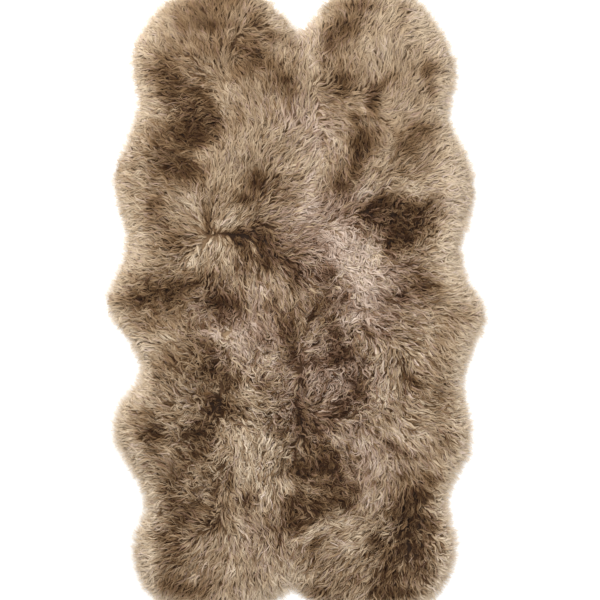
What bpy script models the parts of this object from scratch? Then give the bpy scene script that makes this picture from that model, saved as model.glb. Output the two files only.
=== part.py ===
"""Sheepskin rug of four pelts, sewn skin to skin two by two and laid flat with the wool up.

Metres, Z up. X runs across the rug, Y along it, and the skin side lies on Z = 0.
Each pelt is one solid, its skin and its wool together: a lumpy slab with locks round its free rim.
"""

import math

import bpy
import numpy as np
from mathutils import Vector
from mathutils.geometry import delaunay_2d_cdt

# Height of the wool
WOOL_HEIGHT = 0.054
RIM_HEIGHT = 0.017
RIM_ROUNDING = 0.068
SEAM_DIP = 0.014
SEAM_DIP_REACH = 0.036
LEAST_HEIGHT = 0.026

# Seams: the width of the slit between two pelts, and how far apart the points on a seam are
SEAM_SLIT = 0.0004
SEAM_STEP = 0.030

# Locks of wool round the free rim, no two alike
LOCK_LENGTH = 0.027
LOCK_LENGTH_VARIES = 0.34
LOCK_WIDTH = 0.0155
LOCK_WIDTH_VARIES = 0.16
LOCK_PITCH = 0.0232
LOCK_SHIFT = 0.0014
LOCK_BEND = 0.0060
NOTCH_LOCK_LENGTH = 0.030
NOTCH_BLEND = 0.085

# Sections of one lock, from its root to its tip
LOCK_SECTIONS = (
    # (share of length, share of width, height, share of bend)
    (0.50, 0.74, 0.0125, 0.35),
    (1.00, 0.24, 0.0040, 1.00),
)

# Spacing of the points that carry the lumps
GRID_PITCH = 0.033
RIM_RINGS = (0.011, 0.031)
SEAM_RING = 0.022
RING_STEP = 0.030
CLEAR_OF_RINGS = 0.020

# Reach of the wool down the left side, from the notch at the far end to the notch at the near end
LEFT_EDGE = (
    # (place, x, y)
    ("far notch", 0.004, 0.777),
    ("far neck", -0.026, 0.818),
    ("far crown", -0.074, 0.873),
    ("far crown", -0.147, 0.914),
    ("far crown", -0.228, 0.929),
    ("far crown", -0.312, 0.914),
    ("shoulder", -0.386, 0.873),
    ("shoulder", -0.438, 0.815),
    ("foreleg", -0.476, 0.756),
    ("foreleg", -0.489, 0.692),
    ("foreleg", -0.478, 0.640),
    ("waist", -0.467, 0.582),
    ("waist", -0.484, 0.506),
    ("hind leg", -0.514, 0.436),
    ("hind leg", -0.537, 0.375),
    ("hind leg", -0.538, 0.320),
    ("hind leg", -0.521, 0.258),
    ("rump", -0.503, 0.196),
    ("rump", -0.505, 0.140),
    ("tail lobe", -0.527, 0.078),
    ("tail lobe", -0.557, 0.024),
    ("tail lobe", -0.561, -0.018),
    ("cross seam", -0.546, -0.050),
    ("tail lobe", -0.512, -0.098),
    ("rump", -0.474, -0.156),
    ("rump", -0.456, -0.212),
    ("rump", -0.482, -0.256),
    ("hind leg", -0.527, -0.314),
    ("hind leg", -0.541, -0.378),
    ("hind leg", -0.524, -0.444),
    ("waist", -0.478, -0.512),
    ("waist", -0.443, -0.590),
    ("waist", -0.449, -0.634),
    ("foreleg", -0.478, -0.688),
    ("foreleg", -0.481, -0.742),
    ("foreleg", -0.468, -0.806),
    ("shoulder", -0.430, -0.868),
    ("shoulder", -0.366, -0.908),
    ("near crown", -0.290, -0.926),
    ("near crown", -0.190, -0.926),
    ("near crown", -0.110, -0.910),
    ("near neck", -0.042, -0.872),
    ("near notch", -0.013, -0.832),
)

# Reach of the wool down the right side, from the notch at the far end to the notch at the near end
RIGHT_EDGE = (
    # (place, x, y)
    ("far notch", 0.004, 0.777),
    ("far neck", 0.038, 0.812),
    ("far neck", 0.070, 0.850),
    ("far crown", 0.096, 0.889),
    ("far crown", 0.152, 0.920),
    ("far crown", 0.222, 0.929),
    ("far crown", 0.298, 0.914),
    ("shoulder", 0.362, 0.873),
    ("shoulder", 0.405, 0.817),
    ("foreleg", 0.450, 0.740),
    ("foreleg", 0.471, 0.668),
    ("foreleg", 0.462, 0.606),
    ("waist", 0.447, 0.553),
    ("waist", 0.459, 0.494),
    ("hind leg", 0.492, 0.438),
    ("hind leg", 0.515, 0.376),
    ("hind leg", 0.521, 0.318),
    ("hind leg", 0.509, 0.240),
    ("rump", 0.485, 0.176),
    ("rump", 0.482, 0.128),
    ("rump", 0.496, 0.070),
    ("tail lobe", 0.530, 0.016),
    ("tail lobe", 0.557, -0.022),
    ("cross seam", 0.563, -0.050),
    ("tail lobe", 0.544, -0.088),
    ("tail lobe", 0.520, -0.140),
    ("rump", 0.497, -0.204),
    ("rump", 0.487, -0.260),
    ("hind leg", 0.500, -0.322),
    ("hind leg", 0.514, -0.384),
    ("hind leg", 0.507, -0.452),
    ("waist", 0.474, -0.512),
    ("waist", 0.450, -0.562),
    ("waist", 0.444, -0.616),
    ("foreleg", 0.462, -0.676),
    ("foreleg", 0.470, -0.732),
    ("foreleg", 0.456, -0.790),
    ("shoulder", 0.424, -0.852),
    ("shoulder", 0.374, -0.896),
    ("near crown", 0.302, -0.922),
    ("near crown", 0.205, -0.929),
    ("near crown", 0.110, -0.914),
    ("near neck", 0.034, -0.884),
    ("near neck", 0.001, -0.852),
    ("near notch", -0.013, -0.832),
)

# Centre seam between its ends, from the far end to the near end
CENTRE_SEAM = (
    # (x, y)
    (0.030, 0.668),
    (0.052, 0.560),
    (0.059, 0.410),
    (0.059, 0.270),
    (0.054, 0.160),
    (0.038, 0.060),
    (0.022, -0.031),
    (0.016, -0.130),
    (0.015, -0.290),
    (0.010, -0.440),
    (0.002, -0.600),
    (-0.007, -0.720),
)
CROSSING = (0.022, -0.031)

# Cross seam between its ends, from left to right
CROSS_SEAM = (
    # (x, y)
    (-0.420, -0.050),
    (-0.280, -0.056),
    (-0.140, -0.046),
    (0.022, -0.031),
    (0.110, -0.020),
    (0.220, -0.034),
    (0.370, -0.040),
)

# Hollows where the wool parts or lies over
HOLLOWS = (
    # (x, y, reach, depth)
    (-0.298, 0.500, 0.085, 0.013),
    (-0.290, 0.380, 0.050, 0.007),
    (-0.129, 0.332, 0.050, 0.009),
    (-0.145, 0.178, 0.060, 0.015),
    (-0.257, 0.210, 0.035, 0.009),
    (-0.397, 0.023, 0.075, 0.012),
    (-0.205, 0.006, 0.055, 0.009),
    (-0.138, 0.722, 0.050, 0.007),
    (0.135, 0.751, 0.055, 0.008),
    (0.226, 0.588, 0.050, 0.008),
    (0.191, 0.451, 0.050, 0.012),
    (0.388, 0.652, 0.045, 0.008),
    (0.345, 0.483, 0.060, 0.008),
    (0.295, 0.221, 0.110, 0.015),
    (0.121, 0.329, 0.045, 0.008),
    (0.388, 0.041, 0.050, 0.007),
    (0.040, -0.120, 0.065, 0.009),
    (0.191, -0.227, 0.055, 0.009),
    (0.327, -0.233, 0.050, 0.008),
    (-0.237, -0.242, 0.070, 0.009),
    (-0.269, -0.387, 0.060, 0.012),
    (0.074, -0.495, 0.100, 0.014),
    (-0.202, -0.535, 0.045, 0.009),
    (-0.295, -0.617, 0.060, 0.008),
    (0.330, -0.681, 0.090, 0.012),
    (-0.356, -0.815, 0.065, 0.008),
    (0.252, -0.850, 0.045, 0.007),
)

# Lumps all over, as long waves that cross and wander
LUMPS = (
    # (wavelength, heading in degrees, start in degrees, height)
    (0.234, 24, 40, 0.0036),
    (0.163, 113, 200, 0.0036),
    (0.122, 66, 310, 0.0030),
    (0.097, 158, 90, 0.0026),
)
WANDER_LENGTH = (0.410, 0.530)
WANDER = 0.036

# Wool colours of the pelts
WOOL_COLOURS = {
    "pelt_top_left": (0.29, 0.20, 0.13),
    "pelt_top_right": (0.27, 0.19, 0.13),
    "pelt_bottom_left": (0.28, 0.20, 0.14),
    "pelt_bottom_right": (0.25, 0.18, 0.12),
}
WOOL_ROUGHNESS = 0.95

# Fineness of the curves before they are spaced out again
FINE_STEP = 0.004
CURVE_PARTS = 16
SNAP = 1e-6


def clear_scene():
    for thing in list(bpy.data.objects):
        bpy.data.objects.remove(thing, do_unlink=True)


def smooth_curve(points):
    """A curve through every point, its direction at each one set by the points on either side."""
    points = np.asarray(points, float)
    before = np.vstack([2 * points[0] - points[1], points, 2 * points[-1] - points[-2]])
    share = np.linspace(0, 1, CURVE_PARTS, endpoint=False)[:, None]
    pieces = []
    for a, b, c, d in zip(before, before[1:], before[2:], before[3:]):
        pieces.append(
            0.5
            * (
                2 * b
                + (c - a) * share
                + (2 * a - 5 * b + 4 * c - d) * share**2
                + (3 * b - a - 3 * c + d) * share**3
            )
        )
    return np.vstack(pieces + [points[-1:]])


def lengths_along(curve):
    steps = np.linalg.norm(np.diff(curve, axis=0), axis=1)
    return np.concatenate([[0.0], np.cumsum(steps)])


def spaced(curve, pitch):
    """The curve again, with its points evenly spaced at about this pitch."""
    along = lengths_along(curve)
    count = max(2, round(along[-1] / pitch) + 1)
    return at_lengths(curve, along, np.linspace(0, along[-1], count))


def at_lengths(curve, along, wanted):
    return np.stack([np.interp(wanted, along, curve[:, axis]) for axis in (0, 1)], axis=1)


def eased(share):
    share = np.clip(share, 0, 1)
    return share * share * (3 - 2 * share)


def edge_and_rim(table, inward_side):
    """The reach of the wool along one side of the rug, and the rim of the slab that lies inside it."""
    reach = spaced(smooth_curve([row[1:] for row in table]), FINE_STEP)
    ahead = np.gradient(reach, axis=0)
    ahead /= np.linalg.norm(ahead, axis=1)[:, None]
    inward = inward_side * np.stack([-ahead[:, 1], ahead[:, 0]], axis=1) * LOCK_LENGTH
    along = lengths_along(reach)
    from_end = np.minimum(along, along[-1] - along)
    blend = eased(1 - from_end / NOTCH_BLEND)[:, None]
    toward_middle = np.stack([np.zeros(len(reach)), -np.sign(reach[:, 1])], axis=1)
    rim = reach + (1 - blend) * inward + blend * toward_middle * NOTCH_LOCK_LENGTH
    return reach, rim


def split_at_cross_seam(table, reach):
    """The index at which this side of the rug crosses from the far pelt to the near one."""
    row = next(row for row in table if row[0] == "cross seam")
    return int(np.argmin(np.linalg.norm(reach - np.array(row[1:]), axis=1)))


def distance_to(points, line):
    """How far each point is from the nearest point of a finely spaced line."""
    return np.sqrt(((points[:, None, :] - line[None, :, :]) ** 2).sum(axis=2).min(axis=1))


def wool_top(points, rim, seams):
    """Height of the wool over each point."""
    height = np.full(len(points), WOOL_HEIGHT)
    wandered = points + WANDER * np.sin(2 * math.pi * points[:, ::-1] / WANDER_LENGTH)
    for wavelength, heading, start, lump in LUMPS:
        turn = math.radians(heading)
        run = wandered[:, 0] * math.cos(turn) + wandered[:, 1] * math.sin(turn)
        height += lump * np.sin(2 * math.pi * run / wavelength + math.radians(start))
    for x, y, reach, depth in HOLLOWS:
        away = np.hypot(points[:, 0] - x, points[:, 1] - y)
        height -= depth * np.exp(-((away / reach) ** 2))
    height -= SEAM_DIP * np.exp(-((distance_to(points, seams) / SEAM_DIP_REACH) ** 2))
    height = np.maximum(height, LEAST_HEIGHT)
    inside = np.clip(distance_to(points, rim) / RIM_ROUNDING, 0, 1)
    rounding = np.sqrt(1 - (1 - inside) ** 2)
    return RIM_HEIGHT + (height - RIM_HEIGHT) * rounding


def lock_stations(rim, reach):
    """The rim as a run of lock roots with slits between them, and where the tip of each lock goes."""
    along = lengths_along(rim)
    count = int((along[-1] - (LOCK_PITCH - LOCK_WIDTH)) / LOCK_PITCH)
    pitch = along[-1] / count
    places = [0.0]
    for index in range(count):
        middle = (index + 0.5) * pitch + LOCK_SHIFT * math.sin(3.3 * index)
        half = LOCK_WIDTH / 2 * (1 + LOCK_WIDTH_VARIES * math.sin(2.1 * index + 0.8))
        places += [middle - half, middle + half]
    places.append(along[-1])
    return at_lengths(rim, along, places), at_lengths(reach, along, places)


def seam_run(curve, start, end):
    """The part of a seam between two places on it, without those two places."""
    first, last = (int(np.argmin(np.linalg.norm(curve - np.array(end_), axis=1))) for end_ in (start, end))
    part = curve[first : last + 1] if first < last else curve[last : first + 1][::-1]
    return spaced(part, SEAM_STEP)[1:-1]


class Pelt:
    """One pelt: where its loop of boundary points runs, and which stretches of it carry a lock."""

    def __init__(self, name, side, end):
        self.name = name
        self.side = side
        self.end = end
        self.slit = np.array([side, end]) * SEAM_SLIT / 2

    def boundary(self, edges, centre_seam, cross_seam):
        """From the crossing of the seams out to the rim, round the rim and back down the centre seam."""
        rim, reach = edges
        stations, tips = lock_stations(rim, reach)
        stations[0] += (0, self.slit[1])
        stations[-1] += (self.slit[0], 0)
        crossing = np.array([CROSSING]) + self.slit
        out = seam_run(cross_seam, CROSSING, rim[0]) + (0, self.slit[1])
        back = seam_run(centre_seam, rim[-1], CROSSING) + (self.slit[0], 0)
        loop = np.vstack([crossing, out, stations, back])
        first = len(crossing) + len(out)
        roots = {first + at: tips[at : at + 2] for at in range(1, len(stations) - 1, 2)}
        if self.side * self.end < 0:
            loop = loop[::-1]
            roots = {len(loop) - 2 - at: ends[::-1] for at, ends in roots.items()}
        return loop, roots


def lines_beside(line, depth):
    """Points on both sides of a line, this far from it."""
    line = spaced(line, RING_STEP)
    ahead = np.gradient(line, axis=0)
    ahead /= np.linalg.norm(ahead, axis=1)[:, None]
    across = np.stack([-ahead[:, 1], ahead[:, 0]], axis=1) * depth
    return np.vstack([line + across, line - across])


def inner_points(loop, rim, centre_seam, cross_seam):
    """Points inside the loop: rings just within the rim, a row beside each seam, then an even grid."""
    low = loop.min(axis=0)
    high = loop.max(axis=0)
    row_height = GRID_PITCH * math.sqrt(3) / 2
    grid = []
    for row in range(math.ceil((high[1] - low[1]) / row_height)):
        for column in range(math.ceil((high[0] - low[0]) / GRID_PITCH)):
            grid.append(
                (
                    low[0] + (column + 0.5 * (row % 2)) * GRID_PITCH,
                    low[1] + row * row_height,
                )
            )
    grid = np.array(grid)
    grid = grid[distance_to(grid, rim) > RIM_RINGS[-1] + CLEAR_OF_RINGS]
    seams = np.vstack([centre_seam, cross_seam])
    grid = grid[distance_to(grid, seams) > SEAM_RING + CLEAR_OF_RINGS]
    rows = [grid]
    for depth in RIM_RINGS:
        ring = lines_beside(rim, depth)
        ring = ring[distance_to(ring, rim) > 0.9 * depth]
        rows.append(ring[distance_to(ring, seams) > SEAM_RING])
    for seam in (centre_seam, cross_seam):
        row = lines_beside(seam, SEAM_RING)
        row = row[distance_to(row, seams) > 0.9 * SEAM_RING]
        rows.append(row[distance_to(row, rim) > RIM_RINGS[-1] + CLEAR_OF_RINGS])
    points = np.vstack(rows)
    return points[inside_loop(points, loop)]


def inside_loop(points, loop):
    """True for each point that the closed loop goes round."""
    inside = np.zeros(len(points), bool)
    for (x0, y0), (x1, y1) in zip(loop, np.roll(loop, -1, axis=0)):
        if y0 == y1:
            continue
        crosses = (y0 > points[:, 1]) != (y1 > points[:, 1])
        at_x = x0 + (points[:, 1] - y0) / (y1 - y0) * (x1 - x0)
        inside ^= crosses & (points[:, 0] < at_x)
    return inside


def triangles_inside(points, loop_count):
    """Triangles that fill the loop made of the first points, and use all the points."""
    edges = [(at, (at + 1) % loop_count) for at in range(loop_count)]
    found = delaunay_2d_cdt([Vector(point) for point in points], edges, [], 1, SNAP)
    sources = [origin[0] for origin in found[3]]
    triangles = []
    for face in found[2]:
        a, b, c = (sources[corner] for corner in face)
        ahead = points[b] - points[a]
        aside = points[c] - points[a]
        if ahead[0] * aside[1] - ahead[1] * aside[0] < 0:
            b, c = c, b
        triangles.append((a, b, c))
    return triangles


def lock_mesh(points, faces, root, tips, number):
    """One four-sided lock, grown out of the wall whose corners are the root, resting on Z = 0."""
    left, right = (np.array(points[corner][:2]) for corner in root[:2])
    out = tips.mean(axis=0) - (left + right) / 2
    length = np.linalg.norm(out)
    out /= length
    across = (right - left) / np.linalg.norm(right - left)
    length *= 1 + LOCK_LENGTH_VARIES * (0.6 * math.sin(2.4 * number) + 0.4 * math.sin(5.1 * number) - 0.35)
    bend = LOCK_BEND * math.sin(1.7 * number + 0.6)
    middle = (left + right) / 2
    ring = root
    for reached, width, height, bent in LOCK_SECTIONS:
        centre = middle + out * length * reached + across * bend * bent
        half = (right - left) * width / 2
        start = len(points)
        points.append((*(centre - half), 0.0))
        points.append((*(centre + half), 0.0))
        points.append((*(centre + half), height))
        points.append((*(centre - half), height))
        new_ring = tuple(range(start, start + 4))
        for at in range(4):
            beyond = (at + 1) % 4
            faces.append((ring[at], ring[beyond], new_ring[beyond], new_ring[at]))
        ring = new_ring
    faces.append(ring)


def pelt_mesh(pelt, edges, centre_seam, cross_seam):
    """Corner points and faces of one pelt."""
    rim = edges[0]
    seams = np.vstack([centre_seam, cross_seam])
    loop, roots = pelt.boundary(edges, centre_seam, cross_seam)
    flat = np.vstack([loop, inner_points(loop, rim, centre_seam, cross_seam)])
    tops = wool_top(flat, rim, seams)
    count = len(flat)
    points = [(x, y, 0.0) for x, y in flat]
    points += [(x, y, z) for (x, y), z in zip(flat, tops)]
    faces = []
    for a, b, c in triangles_inside(flat, len(loop)):
        faces.append((c, b, a))
        faces.append((a + count, b + count, c + count))
    top_faces = set(range(1, len(faces), 2))
    for at in range(len(loop)):
        beyond = (at + 1) % len(loop)
        wall = (at, beyond, beyond + count, at + count)
        if at in roots:
            lock_mesh(points, faces, wall, roots[at], at)
        else:
            faces.append(wall)
    return points, faces, top_faces


def wool_material(name):
    material = bpy.data.materials.new(name.replace("pelt", "wool"))
    material.use_nodes = True
    shader = material.node_tree.nodes["Principled BSDF"]
    shader.inputs["Base Color"].default_value = (*WOOL_COLOURS[name], 1.0)
    shader.inputs["Roughness"].default_value = WOOL_ROUGHNESS
    shader.inputs["Metallic"].default_value = 0.0
    material.diffuse_color = (*WOOL_COLOURS[name], 1.0)
    return material


def add_pelt(name, points, faces, top_faces, middle):
    """A named object of one pelt, placed from the middle of the rug."""
    mesh = bpy.data.meshes.new(name)
    mesh.from_pydata([Vector(point) - middle for point in points], [], faces)
    for index in top_faces:
        mesh.polygons[index].use_smooth = True
    mesh.materials.append(wool_material(name))
    mesh.update()
    thing = bpy.data.objects.new(name, mesh)
    bpy.context.scene.collection.objects.link(thing)
    return thing


def build_rug():
    left_reach, left_rim = edge_and_rim(LEFT_EDGE, 1)
    right_reach, right_rim = edge_and_rim(RIGHT_EDGE, -1)
    left_split = split_at_cross_seam(LEFT_EDGE, left_reach)
    right_split = split_at_cross_seam(RIGHT_EDGE, right_reach)
    centre_seam = spaced(smooth_curve([left_rim[0], *CENTRE_SEAM, left_rim[-1]]), FINE_STEP)
    cross_seam = spaced(
        smooth_curve([left_rim[left_split], *CROSS_SEAM, right_rim[right_split]]), FINE_STEP
    )
    # Each rim runs from the cross seam to its notch
    quarters = {
        "pelt_top_left": (-1, 1, left_rim[left_split::-1], left_reach[left_split::-1]),
        "pelt_top_right": (1, 1, right_rim[right_split::-1], right_reach[right_split::-1]),
        "pelt_bottom_left": (-1, -1, left_rim[left_split:], left_reach[left_split:]),
        "pelt_bottom_right": (1, -1, right_rim[right_split:], right_reach[right_split:]),
    }
    built = {}
    for name, (side, end, rim, reach) in quarters.items():
        pelt = Pelt(name, side, end)
        built[name] = pelt_mesh(pelt, (rim, reach), centre_seam, cross_seam)
    everything = np.array([point for points, _, _ in built.values() for point in points])
    middle = (everything.min(axis=0) + everything.max(axis=0)) / 2
    middle[2] = 0.0
    for name, (points, faces, top_faces) in built.items():
        add_pelt(name, points, faces, top_faces, Vector(middle))


clear_scene()
build_rug()
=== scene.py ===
"""Looks of the sheepskin rug: long wool over an undercoat on each pelt, bare skin and sewing thread below.

Metres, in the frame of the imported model: X across the rug, Y along it, Z up out of the wool.
The charts of the wool's lie and tone are in centimetres from the middle of the rug.
"""

import math
from types import SimpleNamespace

import bpy
import numpy as np
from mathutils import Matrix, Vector
from mathutils.bvhtree import BVHTree
from mathutils.geometry import delaunay_2d_cdt
from mathutils.kdtree import KDTree


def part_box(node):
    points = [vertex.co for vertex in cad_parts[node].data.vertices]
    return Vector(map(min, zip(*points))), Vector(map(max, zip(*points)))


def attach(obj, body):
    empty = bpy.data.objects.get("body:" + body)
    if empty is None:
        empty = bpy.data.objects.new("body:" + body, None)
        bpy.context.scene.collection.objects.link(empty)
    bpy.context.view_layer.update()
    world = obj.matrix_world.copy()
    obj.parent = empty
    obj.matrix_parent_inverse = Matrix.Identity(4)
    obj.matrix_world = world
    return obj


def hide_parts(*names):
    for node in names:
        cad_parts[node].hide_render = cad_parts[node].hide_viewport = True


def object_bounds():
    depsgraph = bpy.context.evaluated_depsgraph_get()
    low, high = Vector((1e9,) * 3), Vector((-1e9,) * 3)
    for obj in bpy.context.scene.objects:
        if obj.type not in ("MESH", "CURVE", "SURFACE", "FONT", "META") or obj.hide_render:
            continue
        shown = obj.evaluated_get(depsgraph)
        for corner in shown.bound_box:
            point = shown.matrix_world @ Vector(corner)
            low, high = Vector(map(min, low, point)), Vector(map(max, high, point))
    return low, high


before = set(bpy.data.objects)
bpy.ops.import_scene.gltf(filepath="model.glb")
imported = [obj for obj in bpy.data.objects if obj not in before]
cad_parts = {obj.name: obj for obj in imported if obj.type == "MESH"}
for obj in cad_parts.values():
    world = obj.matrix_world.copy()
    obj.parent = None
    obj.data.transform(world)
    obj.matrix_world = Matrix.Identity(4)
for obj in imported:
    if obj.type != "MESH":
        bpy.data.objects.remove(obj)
cad_low, cad_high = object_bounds()

PELTS = ("pelt_top_left", "pelt_top_right", "pelt_bottom_left", "pelt_bottom_right")
CM = 0.01

# Lengths that are divided by are kept above this
TINY = 1e-9

# The charts were read off as if all the wool lay on the floor, and it stands nearer to the camera
CHART_SCALE = 0.988

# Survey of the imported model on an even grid; what stands above the cut is inside the rim
SURVEY_STEP = 0.004
SURVEY_MARGIN = 0.060
SURVEY_LOW = np.array(cad_low[:2]) - SURVEY_MARGIN
RAY_CLEARANCE = 0.01
RIM_CUT = 0.0165
LEAST_WEIGHT = 0.05

# Rounds of smoothing
DEPTH_ROUNDS = 6
SLAB_ROUNDS = 3
SURFACE_ROUNDS = 2

# The way out from the middle of the rug along each seam, and where two pelts count as meeting
SEAMS = {"top": (0, 1), "bottom": (0, -1), "left": (-1, 0), "right": (1, 0)}
ON_FLOOR = 1e-4
SEAM_MATCH = 0.0012
CROSSING_GAP = 0.01
SEAM_END_GAP = 0.006

# Search for the rim: distances from the middle of the rug, and the turn in radians between two places
RIM_NEAREST = 0.30
RIM_FARTHEST = 1.05
RIM_HALVINGS = 24
RIM_STEP_TURN = 0.009

# Even filling of a loop: points merge below this, and keep this share of the pitch from the loop
MERGE = 1e-7
FILL_GAP = 0.6

# Swells of uneven values: how many waves they add up, and each use's size of lumps and seed
SWELL_WAVES = 9
SWELL_LENGTHS = (1.4, 3.2)
SWELL_PEAK = 4
SKIN_SWELLS = (0.05, 11)
COAT_SWELLS = (0.012, 5)
TONE_SWELLS = (0.018, 7)
LIE_SWELLS = (0.016, 3)
WAVE_SWELLS = (0.03, 9)

# Skin side
SKIN_THICKNESS = 0.0018
SKIN_BOTTOM = 0.0007
SKIN_INSET = 0.007
SKIN_PITCH = 0.020
SKIN_RIPPLE = 0.0003
STITCH_PITCH = 0.0062
STITCH_LENGTH = 0.0085
STITCH_RADIUS = 0.00045
STITCH_DIP = 0.00055
STITCH_LEAN = 0.28
STITCH_SIDES = 6
STITCH_LOWEST = 0.00005

# Rings along a stitch: the place from one end, -1, to the other, 1, and the fullness there
STITCH_RINGS = ((-1.0, 0.35), (-0.7, 1.0), (0.0, 1.15), (0.7, 1.0), (1.0, 0.35))

# Undercoat under the locks
COAT_SHARE = 0.78
COAT_PITCH = 0.013
COAT_INSET = 0.004
COAT_EDGE = 0.004
COAT_LUMP = 0.0015
COAT_LOWEST = 0.004
# The undercoat is darker than the wool over it by this tone: painted shade between the locks
COAT_SHADE_TONE = 0.20

# Locks of wool: usual sizes, angles in degrees, and how each differs, as shares of the usual
ROOT_INSET = 0.002
LOCK_JITTER = 0.38
LOCK_LENGTH = 0.050
LOCK_LENGTHS = (0.74, 1.20)
LOCK_RADIUS = 0.0031
LOCK_RADII = (0.75, 1.25)
LOCK_WAVE = 0.0030
LOCK_WAVES = (0.5, 1.4)
LOCK_OFFSET = 0.5
LOCK_LAY = 0.0020
LOCK_CURL = 70.0
LOCK_DRIFT = 15.0
LOCK_TURN = 8.0
LOCK_CROWN = 0.55
LOCK_LEAN = 0.75
TIP_RISE = 0.0022

# The strands of a lock side by side, which draw together at its tip
STRAND_WIDTH = 0.0018
STRAND_WIDTHS = (0.75, 1.25)
STRAND_LENGTHS = (0.84, 1.08)
STRAND_WAVES = (0.8, 1.2)
STRAND_OFFSET = 0.3
STRAND_SCATTER = 0.10
STRAND_STAGGER = 0.004
STRAND_TURN = 3.5
STRAND_CURL = 9.0
STRAND_ROLL = 0.22
STRAND_RISE = 0.0009
SIDE_SHORTER = 0.14
STRAY_SHARE = 0.10
STRAY_TURN = 3.0

# The path of a strand from root, 0, to tip, 1
ROOT_SPEED = 0.60
WAVE_EASE = 2.5
TAPER = 2.2
LAY_HEIGHT = 0.03
LOWEST = 0.0012
LOWEST_EDGE = 0.0008
HIGHEST = 0.0745

# Where the wool curls it is shorter, and drifts, turns and waves more
CURLY_SHORTER = 0.20
CURLY_DRIFT = 2.2
CURLY_TURN = 1.8
CURLY_WAVE = 1.1
STRAIGHT_WAVE = 0.6
STRAIGHT_CURL = 0.25

# Where the wool parts, its roots show: it is shorter and finer and starts higher up
PARTING_REACH = 0.012
PARTING_SHORTER = 0.75
PARTING_FINER = 0.5
PARTING_ROOT = 0.92
PARTING_GAIN = 1.6

# Near the rim the wool turns outward, and its locks end past the rim but not far past it
RIM_TURN = 0.030
RIM_PULL = 1.5
RIM_BAND = 0.034
RIM_LEAST = 0.9
RIM_REACHES = (0.22, 0.70)
LOCK_REACH = 0.032

# Tones: 0 is the darkest wool and 1 the lightest, eased toward both ends; toward the rim the wool is
# lighter, partly paler wool and partly painted light, and lighter again at the very edge as painted glow
MEAN_TONE = 0.615
PATCH_STRENGTH = 0.014
TONE_DRIFT = 0.06
RIM_PALE_AND_GLOW_TONE = 0.235
RIM_PALE_AND_GLOW_TONE_REACH = 0.062
EDGE_GLOW_TONE = 0.16
EDGE_GLOW_TONE_REACH = 0.014
DARKEST = 0.05
LIGHTEST = 0.94
TONE_EASE = 14.0
TONE_LIMITS = (0.02, 0.98)

# How locks and strands differ in tone; a lock's dark side stands for its shadow
LOCK_TONE = 0.085
LOCK_SUNK_TONE = 0.060
LOCK_SIDE_TONE = 0.52
STRAND_TONE = 0.04
LOCK_MIX = 0.35
STRAND_MIX = 1.1

# How strongly those differences show in dark and in light wool, and the most that they come to
DARK_CONTRAST = 2.4
LIGHT_CONTRAST = 0.40
MOST_PALER = 0.38
MOST_DARKER = 0.30

# Further tones mixed into dark wool, and how much darker crisp wool is
MIXED_DARK = 0.20
CRISP_DARKER = 0.10

# Dark wool is shorter and finer
SHORTER_DARK = 0.35
FINER_DARK = 0.25

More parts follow.
